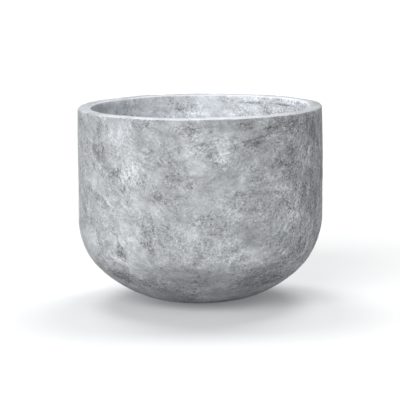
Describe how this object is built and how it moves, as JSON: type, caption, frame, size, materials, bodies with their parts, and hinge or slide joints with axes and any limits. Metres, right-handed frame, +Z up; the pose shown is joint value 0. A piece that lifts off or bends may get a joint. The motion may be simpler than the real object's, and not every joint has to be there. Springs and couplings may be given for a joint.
{
  "type": "bowl planter",
  "caption": "Round concrete bowl planter with upright walls, a flat rim and a rounded base, and a rubber plug that lifts out of the drain in its floor.",
  "frame": {"origin": "on the ground under the centre of the bowl, at the bottom of the foot pads", "axes": "+Z up along the bowl's axis; -Y towards the viewer of the picture; +X to the viewer's right"},
  "size_m": [0.5, 0.5, 0.4],
  "materials": {
    "concrete": "matt cast concrete, cloudy light and dark grey, with fine pale brush marks and small pits",
    "sleeve_plastic": "plain moulded grey plastic",
    "plug_rubber": "matt moulded black rubber",
    "pad_rubber": "matt black rubber"
  },
  "bodies": {
    "planter": {"bowl_shell": "concrete", "drain_sleeve": "sleeve_plastic", "foot_pad_1": "pad_rubber", "foot_pad_2": "pad_rubber", "foot_pad_3": "pad_rubber", "foot_pad_4": "pad_rubber"},
    "plug": {"drain_plug": "plug_rubber"}
  },
  "joints": [
    {"name": "plug_lift", "type": "slide", "parent": "planter", "child": "plug", "axis": [0, 0, 1], "range_m": [0, 0.42]}
  ]
}
